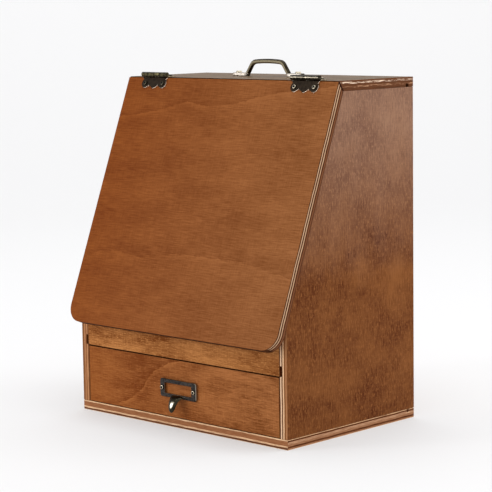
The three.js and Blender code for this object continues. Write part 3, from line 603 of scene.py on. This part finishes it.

# %% [markdown]
# ### Which way each board's grain runs
# The lid, rail, drawer front, base and top are cut with their grain across the box, and the two sides
# with theirs upright, which is how a maker gets the widest boards out of one sheet. The tones are a board's
# darkest and lightest stain and its bare corners. The far tones take over along the grain: on the lid
# towards its right end and on the right side towards its top they are a paler, greyer painted sheen, and
# on the drawer front and the rail they are where the stain was wiped thinner.

# %% Give each board its plywood
boards = {
    "lid_panel": dict(
        board=(lid_foot, X, lid_out), tones=("#6C310B", "#8E4D1D", "#5E3418"), far=("#76431D", "#9C643A"),
        bands=(TOP_END, LID_EDGE), seed=1.0, cloudy=0.7, flecked=0.12, rings=[TOP_RING, LOW_RING],
        ringed=0.85, stained=0.35, wear=(0.3, 0.5), mitre=mitre,
    ),
    "drawer_front": dict(
        board=(outer("drawer_front", Y, True), X, -Y), tones=("#743409", "#A25F2B", "#A8703C"),
        bands=(SOAKED, SOAKED), seed=31.0, far=("#6E3B15", "#B47444"), cloudy=1.1, flecked=0.3,
        rings=[DRAWER_RING], chattered=0.3,
    ),
    "front_rail": dict(
        board=(outer("front_rail", Y, True), X, -Y), tones=("#7A3F12", "#CE8A4E", "#C08C58"),
        bands=(SOAKED, SOAKED), seed=47.0, far=("#70390F", "#B87A44"), cloudy=1.2, flecked=0.55,
        chattered=0.3,
    ),
    "base_board": dict(
        board=(outer("base_board", Z, False), X, Z), tones=("#6A3A1C", "#9A6238", "#F2C69A"),
        bands=(BASE_FRONT, BASE_SIDE), seed=59.0, wear=(0.25, 0.45), stained=0.5,
    ),
    "top_board": dict(
        board=(outer("top_board", Z, False), X, Z), tones=("#4A3A28", "#7A6248", "#84684C"),
        bands=(TOP_END, TOP_SIDE), seed=71.0, stained=1.4, stain="#683E26", mitre=mitre,
    ),
    "left_side": dict(
        board=(outer("left_side", X, True), Z, -X), tones=("#602E0E", "#905832", "#A87A50"),
        bands=(LEFT_EDGE, LEFT_EDGE), seed=83.0, flecked=0.5,
    ),
    "right_side": dict(
        board=(outer("right_side", X, False), Z, X), tones=("#4E1F06", "#8C562C", "#9C6C44"),
        bands=(RIGHT_EDGE, RIGHT_EDGE), seed=97.0, cloudy=0.8, streaked=0.9, flecked=1.0, chattered=0.25,
        cloud_mm=(38, 46, 30), streak_mm=(12, 1.3, 4), fleck_mm=(4, 1.2, 3), figure=SIDE_BARS,
        far=("#653A24", "#9A6E50"), fade=(0.14, 0.27), gloss=(0.04, 0.3), stained=0.25,
    ),
    "shelf": dict(
        board=(outer("shelf", Z, False), X, Z), tones=("#7C4C2A", "#A9794F", "#A9794F"),
        bands=(SOAKED, SOAKED), seed=103.0,
    ),
    "back_panel": dict(
        board=(outer("back_panel", Y, False), Z, Y), tones=("#7C4C2A", "#A9794F", "#A9794F"),
        bands=(SOAKED, SOAKED), seed=113.0, thickness=3.5 * MM,
    ),
}
for node, facts in boards.items():
    long_bands, end_bands = facts.pop("bands")
    facts.setdefault("stain", BROWN)
    ply = plywood("stained_plywood_" + node, long_bands=long_bands, end_bands=end_bands, **facts)
    nodes[node].data.materials.clear()
    nodes[node].data.materials.append(ply)
print("boards finished:", len(boards))

# %% [markdown]
# ### Eased corners
# No board has a knife-sharp corner: a few strokes of sandpaper round each one by about half a millimetre. A
# bevel on the real edges does the same, and gives the worn corner a surface of its own to colour.

# %% Ease the boards' corners
EASED, BASE_EASED = 0.4, 0.65  # millimetres


def ease(node, width_mm, segments=2, angle=30):
    """Welds the node's mesh and rounds its sharp edges."""
    weld = nodes[node].modifiers.new("weld", "WELD")
    weld.merge_threshold = 0.002 * MM
    bevel = nodes[node].modifiers.new("eased", "BEVEL")
    bevel.width = width_mm * MM
    bevel.segments = segments
    bevel.limit_method = "ANGLE"
    bevel.angle_limit = math.radians(angle)


for node in boards:
    ease(node, BASE_EASED if node == "base_board" else EASED)
print("boards eased:", len(boards))

# %% [markdown]
# ## Mottled surfaces
# Plating, the painted shade in a screw's recess and turned wood all wander a little between two tones and
# have a fine grit that breaks up their highlights. One function makes that ground, and each real material
# then sets what is its own. The real grit is finer than this one, which is drawn half a millimetre wide so
# that it shows.

# %% A mottled ground
CLOUDING_MM, GRIT_MM = (3, 3, 3), (0.5, 0.5, 0.5)
GRIT_DEPTH = 0.05 * MM
DULLER, SMOOTHER = 0.08, 0.06  # what the dark and the bright tone do to the roughness


def mottled(name, dark, bright, roughness, seed):
    """A material that wanders between two tones, smoother where it is bright."""
    material = bpy.data.materials.new(name)
    material.use_nodes = True
    tree = material.node_tree
    skin = tree.nodes["Principled BSDF"]
    place = add_node(tree, "TexCoord").outputs["Object"]
    cloud = pattern(tree, place, CLOUDING_MM, 4.0, 0.6, seed)
    grit = pattern(tree, place, GRIT_MM, 2.0, 0.6, seed + 5)
    share = add_node(tree, "MapRange", {"Value": cloud, "From Min": 0.35, "From Max": 0.68}).outputs[0]
    tone = add_node(tree, "Mix", {0: share, 6: linear(dark), 7: linear(bright)}, data_type="RGBA").outputs[2]
    tree.links.new(tone, skin.inputs["Base Color"])
    dull = {"Value": cloud, "From Min": 0.3, "From Max": 0.7}
    dull = add_node(tree, "MapRange", dull | {"To Min": roughness + DULLER, "To Max": roughness - SMOOTHER})
    tree.links.new(dull.outputs[0], skin.inputs["Roughness"])
    bump = add_node(tree, "Bump", {"Strength": 0.25, "Distance": GRIT_DEPTH, "Height": grit})
    tree.links.new(bump.outputs[0], skin.inputs["Normal"])
    return material


# A screw's recess, painted nearly black and dull as its shade.
screw_recess = mottled("recess_painted_shade_black", "#070504", "#0E0A08", 0.7, 17.0)
# Turned beech, unfinished: pale straw and matt.
beech = mottled("beech_dowel_turned", "#C49A66", "#D8B583", 0.6, 27.0)
print("mottled:", screw_recess.name, beech.name)

# %% [markdown]
# ## Bronze and brass
# The castings are zinc with a dark antique bronze plating. Handling takes the dark off some of their edges
# and leaves yellow-white metal, so a flat face looks nearly black beside its bright rim. Other bright rims
# and faces are painted highlights, sheen and reflections. A metal keeps the default index of refraction,
# and its colour is its reflection.

# %% Plated metal
def plated_metal(name, dark, bright, roughness, seed, worn=None, reach_mm=0.0):
    """Plating that wanders between two tones. worn is (direction, from, to, colour): the colour takes over
    where the surface's direction has come from the first likeness to the second, as wear on some pieces and
    as painted highlights, sheen and reflections on others. reach_mm is how far from an edge it begins."""
    material = mottled(name, dark, bright, roughness, seed)
    tree = material.node_tree
    skin = tree.nodes["Principled BSDF"]
    skin.inputs["Metallic"].default_value = 1.0
    if worn:
        direction, start, end, colour = worn
        normal = add_node(tree, "TexCoord").outputs["Normal"]
        if reach_mm:
            rounded = add_node(tree, "Bevel", {"Radius": reach_mm * MM}, samples=8).outputs[0]
            turn = dict(vector_type="NORMAL", convert_from="WORLD", convert_to="OBJECT")
            normal = add_node(tree, "VectorTransform", {0: rounded}, **turn).outputs[0]
        facing = {0: normal, 1: Vector(direction).normalized()}
        likeness = add_node(tree, "VectorMath", facing, operation="DOT_PRODUCT").outputs["Value"]
        share = add_node(tree, "MapRange", {"Value": likeness, "From Min": start, "From Max": end}).outputs[0]
        plating = skin.inputs["Base Color"].links[0].from_socket
        rubbed = add_node(tree, "Mix", {0: share, 6: plating, 7: linear(colour)}, data_type="RGBA").outputs[2]
        tree.links.new(rubbed, skin.inputs["Base Color"])
    return material


print("plated metal wears towards a direction, or not at all")

# %% [markdown]
# ### Each metal piece
# The tones are the plating's dark and its lighter wear, and then come the roughness and where it is rubbed
# through or carries a painted highlight, sheen or reflection. The comments say what each metal is and what
# the eye gets from it.

# %% Metal materials
# Directions in which the wear and the painted highlights, sheen and reflections show,
# all in the box's own axes.
LEAF_WEAR_AND_HIGHLIGHT_FACING = X * 0.75 - lid_up * 0.66
PULL_WEAR_AND_HIGHLIGHT_FACING = X * 0.85 + Z * 0.5
HANDLE_SHEEN_FACING = (-0.3, -0.75, -0.6)
MIDDLE = (0.2, -0.97, 0.1)
HOOK_HIGHLIGHT_FACING = (0.1, -0.93, 0.35)
# Stamped steel leaves under dark bronze plating: satin, near black, and rubbed to bare metal on some edges.
# The lid leaf's edges that face low and right also carry a near-white painted highlight.
lid_leaf = plated_metal(
    "antique_bronze_lid_leaf_worn_and_highlit", "#241D17", "#3A3026", 0.36, 5.0, (LEAF_WEAR_AND_HIGHLIGHT_FACING, 0.2, 0.4, "#FFF2DE"), 0.8,
)
top_leaf = plated_metal(
    "antique_bronze_top_leaf", "#241D17", "#3A3026", 0.36, 6.0, (Z, 0.97, 0.85, "#A89A82"),
)
# Fingers and cloths rub the rolled barrels, so they are smoother, and the right one has a thin painted
# highlight, a pale line along its front.
# line is the right barrel's painted highlight.
line = (MIDDLE, 0.97, 1.0, "#E4D8C0")
barrels = {
    "left": plated_metal("antique_bronze_barrel_left", "#1A160F", "#5E573C", 0.3, 11.0),
    "right": plated_metal("antique_bronze_barrel_right_painted_highlight", "#120F0A", "#2E281E", 0.3, 12.0, line),
}
# Cast zinc under the same plating: a soft sheen on the flat plate, and a grey line along its edges that face
# up and right, partly rubbed metal and partly a painted highlight.
pull_bronze = plated_metal(
    "antique_bronze_label_pull_worn_and_highlit", "#201F20", "#4C4642", 0.34, 7.0, (PULL_WEAR_AND_HIGHLIGHT_FACING, 0.25, 0.7, "#9A9284"), 0.7,
)
# The hook's crest carries a small warm painted highlight, where it faces halfway between the view and the
# front left lamp.
hook_bronze = plated_metal(
    "bronze_hook_painted_highlight", "#221F18", "#4A4536", 0.3, 7.8, (HOOK_HIGHLIGHT_FACING, 0.955, 0.995, "#F4ECD4"),
)
# The handle's bow is dark and glossy, with a paler painted sheen, a reflection, along its low front side.
handle_bronze = plated_metal(
    "antique_bronze_handle_painted_sheen", "#231E17", "#4C4536", 0.32, 8.0, (HANDLE_SHEEN_FACING, 0.6, 0.9, "#A89C80"),
)
# The handle's feet carry a painted reflection: what faces the front is almost white.
foot_bronze = plated_metal("bronze_foot_painted_reflection", "#2A251C", "#51493A", 0.3, 8.5, (-Y, 0.5, 0.85, "#FFF6EA"))
# A bronzed steel pin, dark and even.
pin_steel = plated_metal("bronzed_steel_pin", "#2A251C", "#5A5240", 0.35, 9.0)
# Brass screws: worn bright on top under a painted highlight, darker on the left hinge, and still plated at
# the rim.
screw_brass = plated_metal("brass_screw_worn_and_highlit", "#A89C84", "#E0D6C0", 0.28, 15.0)
screw_dull = plated_metal("brass_screw_darker", "#2C271E", "#6A6250", 0.35, 16.0)
screw_plated = plated_metal("antique_bronze_screw_rim", "#1C1812", "#3A3226", 0.35, 18.0)
# Zinc-plated steel screws under the base: a cool, light grey.
zinc = plated_metal("zinc_plated_screw", "#8E9194", "#B9BCBF", 0.35, 21.0)

finishes = [
    ("top_dowel", beech), ("base_screw", zinc), ("_screw_", screw_brass), ("_pin", pin_steel),
    ("lid_leaf", lid_leaf), ("top_leaf", top_leaf), ("label_pull", pull_bronze),
    ("carry_handle", handle_bronze),
]
for name, piece in nodes.items():
    finish = next((material for part, material in finishes if part in name), None)
    if finish:
        piece.data.materials.clear()
        piece.data.materials.append(finish)
print("metal finishes:", len(finishes) - 1)

# %% [markdown]
# ### Two finishes on one casting
# A barrel, the foot of the handle and the hook of the pull each take a finish of their own, though each is
# one casting with its neighbour: the right barrel and the hook carry a painted highlight and the feet a
# painted reflection. The faces that belong to them are picked by where they are, and get a second material.

# %% Second finishes
BARREL_REACH = 2.5 * MM
FOOT_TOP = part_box("top_board")[1].z + 3.3 * MM
PLATE_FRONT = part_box("drawer_front")[0].y - 2.8 * MM
PLATE_FOOT = 28 * MM
LEAF_EASED, PULL_EASED = 0.2, 0.4  # millimetres
CASTING_ANGLE = 40


def second_finish(node, material, belongs):
    """Gives a second material to the faces whose middle passes the test."""
    data = nodes[node].data
    data.materials.append(material)
    for face in data.polygons:
        if belongs(face.center):
            face.material_index = len(data.materials) - 1


leaves = [name for name in nodes if name.endswith("_leaf")]
for name in leaves:
    barrel = barrels["left" if "left" in name else "right"]
    second_finish(name, barrel, lambda place: (place - hinge_at).yz.length < BARREL_REACH)
    ease(name, LEAF_EASED, angle=CASTING_ANGLE)
second_finish("carry_handle", foot_bronze, lambda place: place.z < FOOT_TOP)
second_finish("label_pull", hook_bronze, lambda place: place.y < PLATE_FRONT or place.z < PLATE_FOOT)
ease("label_pull", PULL_EASED, angle=CASTING_ANGLE)
nodes["label_pull"].modifiers["eased"].harden_normals = True
print("castings with two finishes:", leaves + ["carry_handle", "label_pull"])

# %% [markdown]
# ## The visible screws
# Each small wood screw has a low domed head with a deep round-cornered drive recess. Its top is worn
# bright under a painted highlight, and its recess is painted nearly black as shade, so from a distance it
# is a bright ring round a dark dot. A lathe profile makes it: out from the bottom of the recess, over the
# dome, under the head and down the shank.

# %% A lathe
def lathe(name, profile, sides):
    """A solid of revolution about Z from (radius, height) points."""
    mesh = bmesh.new()
    line = [mesh.verts.new((radius, 0, height)) for radius, height in profile]
    edges = [mesh.edges.new(pair) for pair in zip(line, line[1:])]
    bmesh.ops.spin(mesh, geom=line + edges, cent=(0, 0, 0), axis=(0, 0, 1), angle=math.tau, steps=sides)
    bmesh.ops.remove_doubles(mesh, verts=mesh.verts, dist=0.001 * MM)
    bmesh.ops.recalc_face_normals(mesh, faces=mesh.faces)
    data = bpy.data.meshes.new(name)
    mesh.to_mesh(data)
    mesh.free()
    solid = bpy.data.objects.new(name, data)
    bpy.context.collection.objects.link(solid)
    return solid


print("a lathe for the screws is ready")

# %% [markdown]
# ### The screws' sizes
# A small screw holds a hinge leaf or the pull, and a larger one each foot of the handle. Each new screw
# takes the place, the length and the body of the plain one in the solid model.

# %% Turn the screws
SCREW_SIDES = 32
HEAD_STEPS = 6
RECESS = 0.6  # of the head's radius
RECESS_FLOOR = 0.85  # of the recess's radius
RECESS_DEPTH, RECESS_LIP = 0.75, 0.05  # of the head's height
DOME = 0.8  # of the head's height
POINT = 2.5  # of the shank's radius
RING_REACH = 0.92  # of the head's radius
SLACK = 1.01  # for a face that ends exactly on the recess's radius
CRISP = math.radians(50)
SMALL_HEAD = (2.1 * MM, 1.2 * MM, 0.9 * MM)
HANDLE_HEAD = (2.9 * MM, 1.6 * MM, 1.3 * MM)


def turned_screw(node, body, axis, head_radius, head_height, shank_radius, ring, rim):
    """A finer screw in the node's place, its head towards axis. ring and rim finish the dome and its edge."""
    corners = [v.co for v in nodes[node].data.vertices]
    heights = [c.dot(axis) for c in corners]
    middle = sum(corners, Vector()) / len(corners)
    top = middle + axis * (max(heights) - middle.dot(axis))
    length = max(heights) - min(heights)
    recess = head_radius * RECESS
    recess_floor = -RECESS_DEPTH * head_height
    profile = [(0, recess_floor), (recess * RECESS_FLOOR, recess_floor), (recess, -RECESS_LIP * head_height)]
    for step in range(HEAD_STEPS + 1):
        angle = math.pi / 2 * step / HEAD_STEPS
        out = recess + (head_radius - recess) * math.sin(angle)
        profile.append((out, -head_height * DOME * (1 - math.cos(angle))))
    profile += [(head_radius, -head_height), (shank_radius, -head_height)]
    profile += [(shank_radius, shank_radius * POINT - length), (0, -length)]
    screw = lathe(node + "_turned", profile, SCREW_SIDES)
    for material in (ring, screw_recess, rim):
        screw.data.materials.append(material)
    for face in screw.data.polygons:
        face.use_smooth = True
        reach = max(screw.data.vertices[v].co.xy.length for v in face.vertices)
        if reach <= recess * SLACK and face.center.z > -head_height:
            face.material_index = 1
        elif reach > head_radius * RING_REACH:
            face.material_index = 2
    screw.data.set_sharp_from_angle(angle=CRISP)
    screw.location = top
    screw.rotation_euler = axis.to_track_quat("Z", "Y").to_euler()
    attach(screw, body)
    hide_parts(node)
    return screw


screws = []
for node in sorted(nodes):
    ring = screw_dull if "left" in node else screw_brass
    if "_lid_screw_" in node:
        screws.append(turned_screw(node, "lid", lid_out, *SMALL_HEAD, ring, screw_plated))
    elif "_top_screw_" in node:
        screws.append(turned_screw(node, "carcass", Z, *SMALL_HEAD, ring, screw_plated))
    elif "pull_screw_" in node:
        screws.append(turned_screw(node, "drawer", -Y, *SMALL_HEAD, screw_brass, screw_plated))
    elif "handle_screw_" in node:
        screws.append(turned_screw(node, "carcass", Z, *HANDLE_HEAD, screw_brass, screw_brass))
print("screws turned:", len(screws))

# %% [markdown]
# ### Smooth castings
# The solid castings are facets. Shading across the shallow angles makes the bow and the hook read as round,
# while edges sharper than the limit stay crisp.

# %% Smooth the castings
SMOOTH_BELOW = math.radians(38)
for name in ("carry_handle", "label_pull"):
    nodes[name].data.shade_smooth()
    nodes[name].data.set_sharp_from_angle(angle=SMOOTH_BELOW)
    print("smoothed:", name, len(nodes[name].data.polygons), "faces")

# %% [markdown]
# ## The drawer's inner boards
# The drawer's sides, back and bottom are the same plywood, thinner and left unstained, so they are pale and
# a little yellow, with the glue lines showing as thin dark bands on their edges.

# %% Raw plywood for the drawer
RAW_PALE, RAW_DARK = "#D9B98D", "#B98F5E"
RAW_BANDS = [(1, RAW_PALE), (1, RAW_DARK), (1, RAW_PALE), (1, RAW_DARK), (1, RAW_PALE)]
RAW_TONES = ("#C99F6E", "#E0BF93", "#E0BF93")
RAW_SEED, SEED_STEP = 131.0, 6
RAW_EASED = 0.3
raw_boards = {
    "drawer_side_left": (outer("drawer_side_left", X, True), Y, -X),
    "drawer_side_right": (outer("drawer_side_right", X, False), Y, X),
    "drawer_back": (outer("drawer_back", Y, False), X, Y),
    "drawer_bottom": (outer("drawer_bottom", Z, False), X, Z),
}
for number, (node, board) in enumerate(raw_boards.items()):
    low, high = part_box(node)
    thickness = abs((high - low).dot(board[2]))
    seed = RAW_SEED + number * SEED_STEP
    raw = plywood(
        "raw_plywood_" + node, board, RAW_TONES, RAW_BANDS, RAW_BANDS, RAW_DARK, seed, thickness=thickness,
    )
    nodes[node].data.materials.clear()
    nodes[node].data.materials.append(raw)
    ease(node, RAW_EASED)
print("raw boards:", list(raw_boards))
